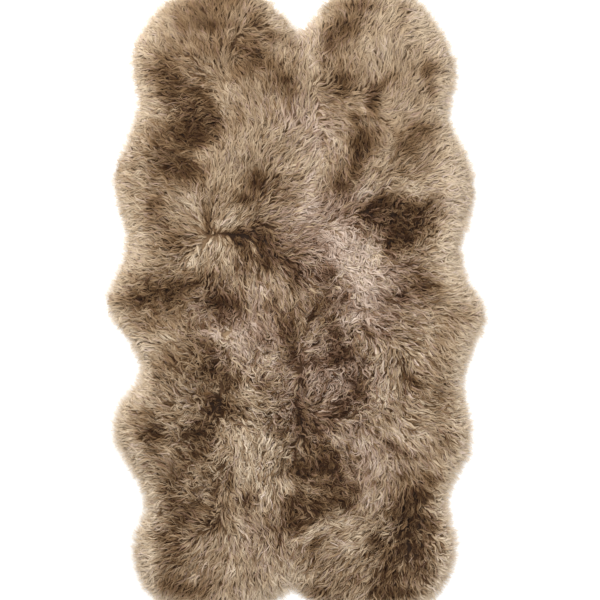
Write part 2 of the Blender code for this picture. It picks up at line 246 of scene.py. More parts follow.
# Lie of the wool, by pelt: where the tips point, 0 to the right and 90 to the far end
FLOW = {
    # (x, y, heading)
    "pelt_top_left": (
        (-43, 79, 125), (-43, 61, 178), (-40, 49, 150), (-48, 34, 168), (-48, 26, 185), (-47, 7, 155),
        (-53, 0, 175), (-32, 77, 125), (-34, 63, 165), (-31, 57, 195), (-32, 38, 165), (-34, 29, 150),
        (-38, 3, 190), (-22, 74, 105), (-26, 32, 104), (-22, 31, 62), (-21, 25, 50), (-15, 84, 80),
        (-10, 84, 40), (-8, 81, 2), (-9, 77, -12), (-14, 73, -50), (-6, 72, 90), (1, 71, 75), (-3, 58, 92),
        (-14, 60, 120), (-2, 40, 50), (-14, 35, 85), (-3, 31, 20), (2, 18, 4), (-28, 22, 160),
        (-24, 22, 70), (-20, 21, 60), (-24, 17, -105), (-20, 16, -92), (-15, 13, -75), (3, 6, -45),
        (1, 0, -80),
    ),
    "pelt_top_right": (
        (10, 87, 108), (6, 73, 70), (10, 67, 95), (17, 73, 60), (27, 84, 58), (34, 83, 12), (42, 71, 28),
        (43, 65, 15), (34, 63, 55), (29, 61, 80), (23, 67, 100), (16, 63, 90), (20, 56, -38),
        (10, 57, -25), (30, 56, 45), (20, 48, -88), (10, 39, -88), (26, 42, 60), (34, 41, 30), (46, 32, 0),
        (30, 32, 10), (21, 33, 35), (13, 26, 60), (23, 28, 60), (43, 19, 12), (36, 22, 45), (29, 19, -60),
        (14, 17, -55), (21, 21, -65), (16, 11, -35), (33, 15, 38), (42, 11, -5), (30, 9, -15),
        (10, 3, -60), (48, -1, 0),
    ),
    "pelt_bottom_left": (
        (-48, -4, 175), (-40, -5, 150), (-43, -20, 165), (-43, -26, 150), (-35, -15, 148), (-35, -21, 130),
        (-43, -41, 170), (-32, -36, 164), (-48, -45, 190), (-43, -51, 196), (-41, -60, 208),
        (-44, -71, 200), (-38, -86, 235), (-35, -49, 142), (-31, -60, 155), (-23, -73, 230),
        (-28, -41, 150), (-27, -24, 145), (-27, -15, 150), (-27, -9, 118), (-15, -15, -60), (-9, -17, -64),
        (-19, -20, -82), (-16, -25, -40), (-16, -34, -30), (-9, -28, 28), (-3, -22, -160), (-3, -28, -40),
        (-18, -39, -88), (-6, -37, -125), (-13, -53, -75), (-8, -51, -108), (-8, -58, -95),
        (-14, -65, -50), (-18, -73, -75), (-10, -71, -108), (-8, -76, -76), (-12, -88, -85),
        (-3, -71, -60), (-2, -77, -95), (-2, -55, -60),
    ),
    "pelt_bottom_right": (
        (7, -8, 45), (5, -23, 56), (8, -19, 10), (14, -21, -30), (6, -28, 56), (11, -31, 30),
        (26, -9, -30), (30, -7, -5), (42, -12, -45), (48, -15, -5), (37, -25, -30), (37, -31, -12),
        (23, -16, -115), (27, -22, -88), (24, -32, -50), (42, -44, -48), (40, -51, -30), (34, -48, -60),
        (10, -39, -70), (6, -41, -32), (3, -36, -45), (10, -48, -55), (4, -52, -50), (7, -57, -10),
        (14, -55, -20), (19, -55, -112), (30, -58, -100), (14, -61, -165), (23, -67, -155),
        (29, -65, -145), (4, -67, -155), (1, -73, -110), (17, -73, -150), (24, -73, -130), (16, -80, -115),
        (8, -81, -140), (29, -79, -120), (42, -63, -5), (37, -67, -45), (33, -76, -75), (30, -83, -75),
        (39, -84, -40), (7, -87, -120),
    ),
}

# How far a heading reaches, and the slight weight that it keeps further off
FLOW_REACH = 0.030
FAR_WEIGHT = 1e-7
FAR_EASE = 1e-3

# Patches darker or lighter than the rest, in hundredths, partly the wool's own tone and partly painted
# shade where the wool is parted and deep; one that lies slanted has its heading last
PATCHES = (
    # (x, y, length, width, tone, heading)
    # Top left
    (-40, 67, 5, 4.5, -30), (-35, 63.5, 3.5, 3, -24), (-39.5, 60.5, 3.5, 2, -20), (-29, 61, 2.5, 1.5, -22),
    (-31, 58, 7, 3, -15), (-25.5, 57, 2, 4, -20, 15), (-21.5, 58.5, 2.5, 3.5, 15), (-31, 51, 5.5, 5, -42),
    (-28.5, 47, 3.5, 2.5, -42), (-23.5, 51.5, 3, 4, -20), (-41, 48.5, 6, 3.5, -20, -10),
    (-38, 43.5, 7, 3, -12), (-25, 80.5, 3.5, 2, -26), (-33, 82, 4, 2.5, -14), (-31, 86.5, 10, 3, -22),
    (-18, 88, 8, 2.5, -22), (-11.5, 82.5, 2.5, 3, -24, -15), (-6.5, 77.5, 4, 2, -22),
    (-0.5, 75, 2.5, 2.5, -18), (-12, 71, 3, 2.5, -26), (-8, 69, 5, 2, -15), (-14.5, 74.5, 3.5, 2.5, -16),
    (-25, 74, 8, 3, -9), (-16, 67, 3.5, 2.5, -22), (-4.5, 64.5, 3.5, 2.5, -30), (-1.5, 61, 2, 2.5, -20),
    (-18, 58, 7, 8, 6), (-16.5, 53.5, 2, 3, -18), (-10, 49, 11, 6, 9), (-27.5, 42.5, 3, 3.5, 22),
    (-20, 40, 5, 6, 11), (-31.5, 38, 5.5, 4, -38), (-39, 38, 5, 3.5, -15), (-44.5, 36, 2.5, 5, 12),
    (-47.5, 40, 1.5, 4, -14), (-53, 39, 3, 4, -20), (-41.5, 29, 2.5, 2, -20), (-42.5, 25, 2.5, 4, -18),
    (-32, 28.5, 5, 4, 18), (-35.5, 18, 4, 4.5, -18), (-26, 25, 1.5, 5, -18), (-19.5, 26, 3.5, 2.5, 12),
    (-24, 36, 1.8, 3, 16), (-21, 19.3, 4.5, 0.8, -32, -8), (-26, 22, 0.9, 2.2, -22),
    (-19.5, 22.5, 4, 1.6, 24, 15), (-27.5, 15, 2.5, 3, 18), (-28.5, 21.5, 1.5, 1.8, 14),
    (-16, 18.2, 3.1, 3.2, -60), (-10.5, 18, 2.5, 5, -42), (-14, 13, 2.5, 2.5, -18),
    (-9, 11, 2.5, 2.5, -34), (-6.5, 16, 3, 4, -22), (-12.8, 15.5, 0.9, 2.4, 36, 30),
    (-16.5, 9, 3, 2.5, -18), (-20.5, 10, 3, 3, 14), (-23.5, 7.5, 1.8, 2, -22), (-28, 6.5, 5, 2, -14),
    (-47, 6, 5.5, 2, -18), (-50, 0, 7, 3, -22), (-43.5, 2, 5, 3, -18), (-36, 2.5, 5, 3, -36),
    (-31, 4.5, 4, 2, -22), (-23.5, 0, 3.5, 3.5, -32), (-31, 0, 1.5, 2, 16), (-18.5, 0, 3.5, 2.5, -24),
    (-12, 34.5, 3, 3.5, -34), (-15.5, 29.5, 3, 2, -24), (-5.5, 33, 5, 4, -12), (-2.5, 39, 3, 3, 14),
    (0, 7.5, 2.5, 3.5, -32), (-3, 11, 3.5, 2.5, -22), (-5, 6.5, 2, 2.2, 14), (-31, 11, 3, 2, 32),
    (-22.5, 16.5, 3, 3.5, 26), (-10, 2.5, 4, 3, 14), (1.5, 25, 4, 3, 10), (1, 15.5, 4.5, 2, -14),
    # Top right
    (24, 45, 26, 32, 4), (-20, 82, 22, 9, -4), (18.5, 87, 6, 2.5, -30), (14.5, 80.5, 4.5, 4.5, -30),
    (9.5, 77, 2.5, 6, -26), (9, 87, 3, 2.5, -22), (31.5, 84, 2, 3, -20), (19.5, 75.5, 2.5, 3.5, 14),
    (33, 76, 4, 5, 10), (25.5, 73, 5, 9, 15), (29, 83, 9, 2, 12), (4, 68, 3, 6, 12),
    (38.5, 67.5, 4, 2.5, -32, 20), (39.5, 61.5, 2.5, 3, -22), (13.5, 63.5, 4, 4.5, -28),
    (19, 57.5, 1.8, 2, 14), (25.5, 63.5, 3, 1.5, -24, 35), (22.5, 58.5, 2, 4, -38, -5),
    (35.5, 66, 2, 4, 16), (31.5, 56.5, 5, 4, 10), (26, 44, 3.5, 3.5, 15), (12.5, 46.5, 3.5, 4.5, 14),
    (28, 66, 2.5, 4, -10), (17, 53.5, 2, 2.5, -24), (20, 46.5, 4.5, 4, -44), (17.3, 40, 2.2, 3.5, -36),
    (38.5, 50, 4.5, 3.5, -28), (32, 45, 4, 4.5, -24), (5, 39, 3.5, 7, 20), (4.5, 53, 4, 6, 11),
    (3.5, 29, 2.5, 4, 14), (13.3, 34, 4, 4, -36), (20, 31, 3, 2.5, 28, 30), (42.5, 37, 3.5, 3, 20),
    (26, 28.5, 6, 2.5, -36), (21.5, 25, 3.5, 3, -36), (34.5, 27, 4, 2.5, -26), (30, 21.5, 5.5, 5, -46),
    (27.5, 15.5, 2.5, 3, -34), (32, 17, 3, 2.5, -16), (37.5, 22, 4, 4.5, -20), (35.5, 32.5, 5, 2.5, 24),
    (8.5, 7.5, 3, 2.5, -32), (8, 0, 5, 3, -20), (37, 3.5, 5, 2.5, -30), (33.5, 7.5, 4, 3, -16),
    (30, 0.5, 5, 1.8, -20), (11.5, 19.5, 4, 3.5, 30), (15, 10, 4, 5, 28), (22, 12, 4.5, 6, 28),
    (20, 3, 3, 4.5, 26), (26.5, 4, 3, 2.5, 16), (45, 15, 4, 5, 14), (48, 31, 3.5, 10, 28),
    (45.5, 6, 4, 3, 14),
    # Bottom left
    (-45, -6.5, 5, 3, -20), (-36.5, -2.5, 3, 3, -14), (-30.5, -9.5, 3, 5, -14, 20),
    (-37, -10.5, 5, 2, 18, 10), (-26.5, -14.5, 3.5, 4, -17), (-38, -18.5, 5.5, 5, -18),
    (-41, -22.5, 2.5, 3, -14), (-45.5, -20.5, 2, 6, 27), (-27.5, -21.5, 3.5, 3, -20),
    (-22.5, -20.5, 3.5, 2.5, -28), (-18, -24.3, 3, 1.8, -34), (-26.5, -28, 4.5, 2.5, -20),
    (-23, -31.5, 3.5, 3, -34), (-17.5, -32, 2.5, 2.5, -28), (-45.5, -35, 3.5, 2.5, -22),
    (-42, -40, 4.5, 2, -34), (-32.5, -39.5, 1.5, 1.3, -44), (-28, -38.5, 3.5, 5, -36),
    (-21.5, -5.5, 3.5, 1.8, -22, 30), (-18.5, -2, 2.5, 2, -20), (-7.5, -1, 2, 3, -20),
    (-9, -25, 3, 3, -22), (-5.5, -19.5, 1.2, 1.8, -30), (-2.5, -9, 3, 5.5, -36), (-1, -17, 2, 3, -22),
    (-2, -29.5, 2, 3, -14), (1.8, -24, 1.8, 5, -24), (-4.5, -38, 2, 2.5, -18), (1.8, -34, 2.5, 4, -34),
    (-21, -10.5, 6, 2.5, 26, -10), (-12.5, -7.5, 3.5, 1.5, 14), (-16, -14, 3, 3, 24),
    (-8.5, -19, 3, 3.5, 24), (-12, -11.5, 3, 1.5, -14), (-14.5, -28, 2.5, 4.5, 22), (-15, -41, 3.5, 4, 22),
    (-7.5, -42, 3.5, 2, 26, -30), (-29, -45.5, 2.5, 1.5, -34, -30), (-33, -48, 2.5, 3.5, -12),
    (-42.5, -44.5, 3, 4, -16), (-48, -46, 2.5, 5, 20, -20), (-38, -53, 4.5, 4, -20),
    (-37.5, -59, 3, 4, -22), (-43.5, -61.5, 2.5, 4, 18), (-19.6, -53, 1.3, 3, -36),
    (-14, -58.5, 2, 2, -32), (-20.5, -60.5, 3.5, 1, -24, -25), (-30, -61.5, 6, 3, -20),
    (-35, -65, 4, 3, -16), (-23.5, -66, 3.5, 1.5, -34, -10), (-40, -69.5, 4, 2, -30),
    (-36.5, -75, 3, 5, -17), (-29.5, -80.5, 2, 3.5, 15), (-44, -78.5, 2, 8, 34, 5),
    (-38, -83.5, 5, 3.5, -26), (-31, -86, 6, 2.5, -30), (-19, -79.5, 4, 3, 22), (-8.5, -77, 3, 4, 14),
    (-8.5, -66, 1.5, 4, -16, 20), (-17.5, -68.5, 4, 6, 16), (-3.5, -67, 3, 2, -20), (-2, -62, 2.5, 4, -34),
    (-1, -50, 2.5, 2.5, -38), (-15, -49, 4.5, 5, 26), (-9, -57, 2.5, 4, 19), (-3.5, -54, 2, 4, 24),
    # Bottom right
    (8, -6, 5, 3.5, -16), (11.5, -10, 2, 3.5, -28), (13.5, -16, 3.5, 2.5, -46), (9, -18, 5, 1.8, -26),
    (20, -18.5, 2, 2, -16), (18, -25, 3, 3.5, -32), (18.8, -28.3, 2.5, 1.5, -30),
    (13.5, -31.5, 2.2, 3, -42), (10.3, -36, 4, 1.5, -22, -63), (14, -36.5, 2, 3, 14),
    (5, -37.5, 5, 3, -28), (7.5, -43.5, 4, 2.2, -26), (-0.5, -42, 4, 2, -14), (12, -41, 2, 2, 20),
    (20, -42.5, 5, 2, 18, -42), (28.5, -43, 6, 0.9, -27, -31), (29.5, -39.5, 4, 3, 18, -35),
    (25.5, -49.5, 4, 3, 20), (31.5, -51.5, 3, 2, -16), (25.5, -28, 3.5, 6, 16),
    (25, -17.5, 1.8, 4.5, 14, 30), (34.5, -24.5, 2, 4.5, -28, 30), (43.5, -20, 3, 7, -13),
    (42.5, -28.5, 3, 4, -16), (37, -31, 3.5, 4, 12), (37, -41, 3, 3.5, 20), (46, -30, 1.5, 5, -12),
    (37, -16, 4, 5, 11), (45, -41.5, 3.5, 4, -14), (40, -6, 4, 3, 14), (50, -4.5, 4, 2.5, -12),
    (15, -5.5, 4, 1.5, 24), (21.5, -9.5, 4, 1, -22, -45), (9.5, -48.5, 4.5, 4, -44),
    (3, -49.5, 2.5, 3.5, -42), (10.5, -54.5, 5, 2, -30), (17, -55.5, 2.5, 2, -22),
    (12.5, -59, 5, 2.2, -38), (6.5, -61, 2.5, 3, -44), (1, -59, 2.5, 2.5, -28), (1, -66, 2.5, 3, -28),
    (3, -78.5, 4.5, 3, -10), (22, -58.5, 3.5, 4, 18, 20), (6, -67.5, 4, 1.5, 20, 20),
    (2, -71, 2.5, 1.5, 26), (5, -71.8, 2.5, 1.3, -42, 40), (14, -65.8, 3.5, 2.8, 20),
    (15.5, -72.5, 4, 3, 22, 30), (7, -86, 7, 3, -34), (40, -52.8, 3.5, 2.2, -40), (35, -57.5, 5, 3, -44),
    (30.5, -62, 3.5, 3, -24), (35.5, -65, 5.5, 3.5, -38), (39.5, -67, 2, 2.5, -30),
    (31.5, -68.8, 3, 1.5, -34), (23.5, -71.5, 3.5, 2.5, -30, -30), (34, -73, 5, 2.5, -46),
    (28, -76, 4, 3, -26), (27.5, -80.8, 4.5, 2, -32), (27, -86, 5, 2.5, -56), (34, -86, 3, 2, -30),
    (37.5, -80.5, 3.5, 3.5, -36, 20), (42, -72, 2, 5, -12), (43.5, -82, 2, 4, 14, 20),
)

# Places where the wool curls more than it lies straight
CURLY = (
    # (x, y, reach, amount)
    (29, 22, 10, 1.0), (16, 14, 10, 0.7), (12, 0, 10, 0.9), (-38, 0, 9, 0.7), (-22, -8, 10, 0.8),
    (-24, -22, 9, 0.8), (-26, -38, 9, 0.9), (-8, -16, 9, 0.7), (-5, -34, 9, 0.9), (12, -17, 11, 1.0),
    (18, -28, 9, 0.9), (7, -48, 10, 0.9), (32, -68, 9, 0.6), (-28, -50, 8, 0.6), (-30, 52, 7, 0.4),
)
CURL_FLOOR = 0.10

# How much the tones of the locks differ, the painted shadow on their dark sides included; the floor is what
# holds away from all the spots
CRISP = (
    # (x, y, reach, amount)
    (-8, -38, 36, 2.4), (-30, -34, 18, 2.3), (14, -22, 36, 2.2), (-30, -60, 26, 1.60), (18, 8, 36, 1.60),
    (31, 20, 14, 1.9), (-20, 4, 38, 1.35), (32, -76, 30, 1.8), (0, -64, 30, 1.65), (42, -30, 24, 1.35),
    (-44, 38, 26, 0.95), (0, 44, 36, 0.85), (-30, 56, 18, 1.1),
)
CRISP_FLOOR = 0.15

# Places where more of the wool is rosy than sandy
ROSY = (
    # (x, y, reach, amount)
    (8, 18, 17, 1.0), (18, 2, 16, 0.9), (-14, -6, 14, 0.8), (8, -22, 18, 0.9), (20, -45, 14, 0.6),
    (3, 50, 11, 0.6), (5, 72, 9, 0.4), (45, 30, 12, 0.3), (-10, -66, 12, 0.4),
)
ROSY_FLOOR = 0.12

# Wool colours as shown on a screen, at these places from the darkest tone to the lightest
TONE_PLACES = (0.00, 0.20, 0.45, 0.70, 1.00)
SANDY_TONES = ((47, 25, 5), (82, 57, 31), (127, 101, 73), (170, 148, 121), (222, 205, 181))
ROSY_TONES = ((48, 25, 8), (83, 56, 36), (128, 100, 80), (170, 147, 130), (222, 204, 190))


def from_screen(colour):
    """Light values of a colour given as shown on a screen, 0 to 255."""
    share = np.array(colour) / 255
    return np.where(share <= 0.04045, share / 12.92, ((share + 0.055) / 1.055) ** 2.4)


def directions(headings):
    """Steps of length 1 along these headings."""
    return np.stack([np.cos(headings), np.sin(headings)], axis=-1)


def unit(vectors):
    """The same directions, each with a length of 1."""
    return vectors / np.maximum(np.linalg.norm(vectors, axis=-1, keepdims=True), TINY)


def both_at(fields, places):
    """Two fields read as the X and Y of a direction."""
    return np.stack([field.at(places) for field in fields], axis=-1)


def cross_product(one, other):
    """Above 0 where the second flat step turns to the left of the first."""
    return one[..., 0] * other[..., 1] - one[..., 1] * other[..., 0]


def doubled_areas(corners):
    """Twice the area of each flat triangle, below 0 where its corners run clockwise."""
    return cross_product(corners[:, 1] - corners[:, 0], corners[:, 2] - corners[:, 0])


def finder(points):
    """A tree that finds the nearest of these flat points."""
    tree = KDTree(len(points))
    for index, (x, y) in enumerate(points):
        tree.insert((x, y, 0), index)
    tree.balance()
    return tree


def neighbours(values, **padding):
    """What the left, right, near and far neighbours of each grid point hold."""
    padded = np.pad(values, 1, **padding)
    return np.stack([padded[1:-1, :-2], padded[1:-1, 2:], padded[:-2, 1:-1], padded[2:, 1:-1]])


def blurred(values, rounds):
    """The grid smoothed by averaging each value with its neighbours, several times over."""
    for _ in range(rounds):
        _, _, near, far = neighbours(values, mode="edge")
        values = (near + far + 2 * values) / 4
        left, right, _, _ = neighbours(values, mode="edge")
        values = (left + right + 2 * values) / 4
    return values


class Field:
    """Values on an even grid over the rug, read between the grid points."""

    def __init__(self, values):
        self.values = values

    def at(self, places):
        rows, columns = self.values.shape
        spot = np.clip((places - SURVEY_LOW) / SURVEY_STEP, 0, (columns - 1.001, rows - 1.001))
        left, below = np.moveaxis(spot.astype(int), -1, 0)
        across, up = np.moveaxis(spot % 1, -1, 0)
        value = self.values
        near = value[below, left] * (1 - across) + value[below, left + 1] * across
        far = value[below + 1, left] * (1 - across) + value[below + 1, left + 1] * across
        return near * (1 - up) + far * up


def read_heights():
    """The height of the rug over the grid, from straight above, with the slits between pelts filled."""
    columns, rows = ((np.array(cad_high[:2]) + SURVEY_MARGIN - SURVEY_LOW) / SURVEY_STEP).astype(int) + 1
    heights = np.zeros((rows, columns))
    down = Vector((0, 0, -1))
    for name in PELTS:
        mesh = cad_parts[name].data
        faces = [face.vertices for face in mesh.polygons]
        tree = BVHTree.FromPolygons([corner.co for corner in mesh.vertices], faces)
        first, last = ((np.array(end[:2]) - SURVEY_LOW) / SURVEY_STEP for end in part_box(name))
        for row in range(int(first[1]), math.ceil(last[1]) + 1):
            for column in range(int(first[0]), math.ceil(last[0]) + 1):
                x, y = SURVEY_LOW + (column * SURVEY_STEP, row * SURVEY_STEP)
                hit = tree.ray_cast(Vector((x, y, cad_high[2] + RAY_CLEARANCE)), down)[0]
                if hit is not None:
                    heights[row, column] = hit[2]
    beside = neighbours(heights)
    slit = (heights == 0) & ((beside > RIM_CUT).sum(axis=0) >= 2)
    return np.where(slit, beside.max(axis=0), heights)


def signed_depth(slab):
    """How far each grid point is inside the rim, or outside it as a negative number."""
    tree = finder(np.argwhere(slab & ~neighbours(slab).all(axis=0)))
    depth = np.empty(slab.shape)
    for row, column in np.ndindex(slab.shape):
        depth[row, column] = tree.find((row, column, 0))[2]
    return np.where(slab, depth + 0.5, -depth + 0.5) * SURVEY_STEP


def seam_points(side):
    """Places on the floor where the two pelts on this side of the rug meet, corner to corner."""
    floors = []
    for name in PELTS:
        if side in name:
            corners = np.array([corner.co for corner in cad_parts[name].data.vertices])
            floors.append(np.unique(np.round(corners[corners[:, 2] < ON_FLOOR, :2], 6), axis=0))
    tree = finder(floors[1])
    found = []
    for x, y in floors[0]:
        other, _, away = tree.find((x, y, 0))
        if away < SEAM_MATCH:
            found.append(((x + other[0]) / 2, (y + other[1]) / 2))
    return np.array(found)


class Rug:
    """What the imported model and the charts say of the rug: its rim, heights and seams, and its wool."""

    def __init__(self):
        heights = read_heights()
        slab = heights > RIM_CUT
        depth = blurred(signed_depth(slab), DEPTH_ROUNDS)
        self.depth = Field(depth)
        deeper_y, deeper_x = np.gradient(depth, SURVEY_STEP)
        size = np.maximum(np.hypot(deeper_y, deeper_x), TINY)
        self.outward = (Field(-deeper_x / size), Field(-deeper_y / size))
        weight = np.maximum(blurred(slab.astype(float), SLAB_ROUNDS), LEAST_WEIGHT)
        surface = blurred(np.where(slab, heights, 0.0), SLAB_ROUNDS) / weight
        beyond = np.clip(-depth / LOCK_REACH, 0, 1)
        surface = np.where(depth < 0, RIM_CUT * (1 - beyond), np.maximum(surface, RIM_CUT))
        self.height = Field(blurred(surface, SURFACE_ROUNDS))
        rise_y, rise_x = np.gradient(self.height.values, SURVEY_STEP)
        self.fall = (Field(-rise_x), Field(-rise_y))
        self.find_seams()
        self.read_charts(np.maximum(depth, 0))

    def find_seams(self):
        """The seams, each from the middle of the rug outward, and the place where they cross."""
        self.seams = {}
        for side, ahead in SEAMS.items():
            points = seam_points(side)
            self.seams[side] = points[np.argsort(points @ ahead)]
        self.crossing = self.seams["top"][0]
        for side, ahead in SEAMS.items():
            beyond = (self.seams[side] - self.crossing) @ ahead > CROSSING_GAP
            self.seams[side] = self.seams[side][beyond]

    def read_charts(self, depth):
        """The tone, curl, crispness and rosiness of the wool over the grid, by the charts."""
        rows, columns = depth.shape
        grid = np.stack(np.meshgrid(np.arange(columns), np.arange(rows)), axis=-1)
        places = SURVEY_LOW + grid * SURVEY_STEP
        tone = chart_tone(places) + TONE_DRIFT * rolling_noise(places, *TONE_SWELLS)
        # Lighter toward the rim, partly paler wool and partly painted light; lighter still at the edge,
        # painted glow
        tone += RIM_PALE_AND_GLOW_TONE * np.exp(-((depth / RIM_PALE_AND_GLOW_TONE_REACH) ** 4))
        tone += EDGE_GLOW_TONE * np.exp(-((depth / EDGE_GLOW_TONE_REACH) ** 2))
        tone = DARKEST + np.logaddexp(0, (tone - DARKEST) * TONE_EASE) / TONE_EASE
        tone = LIGHTEST - np.logaddexp(0, (LIGHTEST - tone) * TONE_EASE) / TONE_EASE
        self.tone = Field(tone)
        self.curl = Field(chart_spots(places, CURLY, CURL_FLOOR))
        self.crisp = Field(chart_spots(places, CRISP, CRISP_FLOOR))
        self.rosy = Field(chart_spots(places, ROSY, ROSY_FLOOR))

    def whole_seam(self, one, other):
        """Two seams as one line through the crossing."""
        return np.vstack([self.seams[one][::-1], self.crossing, self.seams[other]])

    def rim_at(self, headings, inset):
        """Places at these headings from the middle of the rug that lie this far inside the rim."""
        ahead = directions(headings)
        near = np.full(len(headings), RIM_NEAREST)
        far = np.full(len(headings), RIM_FARTHEST)
        for _ in range(RIM_HALVINGS):
            middle = (near + far) / 2
            inside = self.depth.at(ahead * middle[:, None]) > inset
            near = np.where(inside, middle, near)
            far = np.where(inside, far, middle)
        return ahead * near[:, None]

    def loop(self, pelt, inset):
        """The outline of a pelt: out along one seam, round the rim, and back along the other seam."""
        _, end, side = pelt.split("_")
        lines = [self.seams[side], self.seams[end]]
        first, last = np.unwrap([math.atan2(line[-1, 1], line[-1, 0]) for line in lines])
        headings = np.linspace(first, last, int(abs(last - first) / RIM_STEP_TURN))
        cross, centre = (line[self.depth.at(line) > inset + SEAM_END_GAP] for line in lines)
        loop = np.vstack([self.crossing, cross, self.rim_at(headings, inset), centre[::-1]])
        turning = cross_product(loop, np.roll(loop, -1, axis=0)).sum()
        return loop if turning > 0 else loop[::-1]


def inside_loop(points, loop):
    """True for each point that the closed loop goes round."""
    inside = np.zeros(len(points), bool)
    for (x0, y0), (x1, y1) in zip(loop, np.roll(loop, -1, axis=0)):
        if y0 == y1:
            continue
        crosses = (y0 > points[:, 1]) != (y1 > points[:, 1])
        at_x = x0 + (points[:, 1] - y0) / (y1 - y0) * (x1 - x0)
        inside ^= crosses & (points[:, 0] < at_x)
    return inside


def even_grid(loop, pitch):
    """Points of an even three-way grid over the box of a loop."""
    low = loop.min(axis=0)
    high = loop.max(axis=0)
    rows = np.arange(low[1], high[1], pitch * math.sqrt(3) / 2)
    columns = np.arange(low[0], high[0], pitch)
    grid = np.stack(np.meshgrid(columns, rows), axis=-1)
    grid[1::2, :, 0] += pitch / 2
    return grid.reshape(-1, 2)


def finely(loop, pitch):
    """A closed loop with points added so that none are further apart than this."""
    found = []
    for start, end in zip(loop, np.roll(loop, -1, axis=0)):
        parts = max(1, math.ceil(np.linalg.norm(end - start) / pitch))
        found.extend(start + (end - start) * share for share in np.arange(parts) / parts)
    return np.array(found)


def filled(loop, pitch):
    """Points and triangles that fill a loop evenly, and how many of the first points are on the loop."""
    loop = finely(loop, pitch)
    grid = even_grid(loop, pitch)
    grid = grid[inside_loop(grid, loop)]
    away = np.min([np.linalg.norm(grid - point, axis=1) for point in loop], axis=0)
    flat = np.vstack([loop, grid[away > FILL_GAP * pitch]])
    edges = [(at, (at + 1) % len(loop)) for at in range(len(loop))]
    found = delaunay_2d_cdt([Vector(point) for point in flat], edges, [], 1, MERGE)
    sources = np.array([origin[0] for origin in found[3]])
    triangles = sources[np.array(found[2])]
    flipped = doubled_areas(flat[triangles]) < 0
    triangles[flipped] = triangles[flipped][:, ::-1]
    return flat, triangles, len(loop)


def rolling_noise(places, size, seed):
    """Smooth uneven values from about -1 to 1, with lumps of about this size."""
    chance = np.random.default_rng(seed)
    total = np.zeros(places.shape[:-1])
    for _ in range(SWELL_WAVES):
        heading = chance.uniform(0, math.tau)
        length = size * chance.uniform(*SWELL_LENGTHS)
        start = chance.uniform(0, math.tau)
        total += np.sin(math.tau * (places @ directions(heading)) / length + start)
    return total / SWELL_PEAK


def placed(name, data):
    """A new object in the scene for a mesh, light or camera."""
    thing = bpy.data.objects.new(name, data)
    bpy.context.scene.collection.objects.link(thing)
    return thing


def new_object(name, points, faces, material):
    mesh = bpy.data.meshes.new(name)
    mesh.from_pydata([tuple(point) for point in points], [], [tuple(map(int, face)) for face in faces])
    mesh.shade_smooth()
    mesh.materials.append(material)
    return placed(name, mesh)


class Nodes:
    """Short calls to build a material. An input is given a value, or a socket to be linked to."""

    def __init__(self, name):
        self.material = bpy.data.materials.new(name)
        self.material.use_nodes = True
        self.tree = self.material.node_tree
        self.shader = self.tree.nodes["Principled BSDF"]

    def give(self, node, inputs):
        for key, value in inputs.items():
            if isinstance(value, bpy.types.NodeSocket):
                self.tree.links.new(value, node.inputs[key])
            else:
                node.inputs[key].default_value = value

    def add(self, kind, inputs, **settings):
        node = self.tree.nodes.new(kind)
        for key, value in settings.items():
            setattr(node, key, value)
        self.give(node, inputs)
        return node

    def ramp(self, stops, factor):
        node = self.add("ShaderNodeValToRGB", {"Fac": factor})
        elements = node.color_ramp.elements
        while len(elements) < len(stops):
            elements.new(0.5)
        for element, (place, colour) in zip(elements, stops):
            element.position = place
            element.color = (*from_screen(colour), 1.0)
        return node.outputs["Color"]

    def mix(self, factor, first, second):
        inputs = {"Factor": factor, "A": first, "B": second}
        return self.add("ShaderNodeMix", inputs, data_type="RGBA").outputs["Result"]

    def noise(self, place, scale, detail):
        inputs = {"Vector": place, "Scale": scale, "Detail": detail}
        return self.add("ShaderNodeTexNoise", inputs).outputs["Fac"]

    def mottled(self, shades, scale, detail):
        """A colour that drifts between these shades, and the places that it goes by."""
        place = self.add("ShaderNodeTexCoord", {}).outputs["Object"]
        return self.ramp(shades, self.noise(place, scale, detail)), place


# The wool's colour at the root as a share of that at the tip: painted shade deep in the pile
ROOT_SHADE_DARKEST = (0.60, 0.52, 0.44)
ROOT_SHADE_LIGHTEST = (0.90, 0.87, 0.83)

# Where a strand's root and tip lie up its map: sandy wool has the lower half and rosy wool the upper
MAP_NAME = "OFBake"
ROOT_PLACE = 0.03
TIP_PLACE = 0.47
ROSY_PLACE = 0.50
# How far up the map the painted root shade fades out
ROOT_SHADE_REACH = 0.21
STRAND_PLACE = 0.004


def shaded(tone, colour):
    """A wool colour with the painted shade of the root, where dark wool darkens more than light wool."""
    shares = [low + (high - low) * tone for low, high in zip(ROOT_SHADE_DARKEST, ROOT_SHADE_LIGHTEST)]
    return tuple(part * share for part, share in zip(colour, shares))


def wool_material():
    """Wool whose tone runs across its map; up the map come sandy wool, then rosy wool, each root to tip,
    darkened toward the root by painted shade.
    """
    wool = Nodes("long_wool")
    place = wool.add("ShaderNodeUVMap", {}, uv_map=MAP_NAME).outputs["UV"]
    tone, up, _ = wool.add("ShaderNodeSeparateXYZ", {"Vector": place}).outputs
    looks = []
    for colours, start in ((SANDY_TONES, 0.0), (ROSY_TONES, ROSY_PLACE)):
        stops = list(zip(TONE_PLACES, colours))
        tips = wool.ramp(stops, tone)
        # The same colours darkened by the painted root shade
        roots = wool.ramp([(at, shaded(at, colour)) for at, colour in stops], tone)
        reach = {"Value": up, "From Min": start, "From Max": start + ROOT_SHADE_REACH}
        along = wool.add("ShaderNodeMapRange", reach, interpolation_type="SMOOTHSTEP")
        looks.append(wool.mix(along.outputs["Result"], roots, tips))
    rosy = wool.add("ShaderNodeMath", {0: up, 1: ROSY_PLACE}, operation="GREATER_THAN")
    finish = {
        "Base Color": wool.mix(rosy.outputs["Value"], *looks),
        "Roughness": 0.62,
        "Specular IOR Level": 0.14,
        "Sheen Weight": 0.05,
        "Sheen Roughness": 0.45,
    }
    wool.give(wool.shader, finish)
    return wool.material


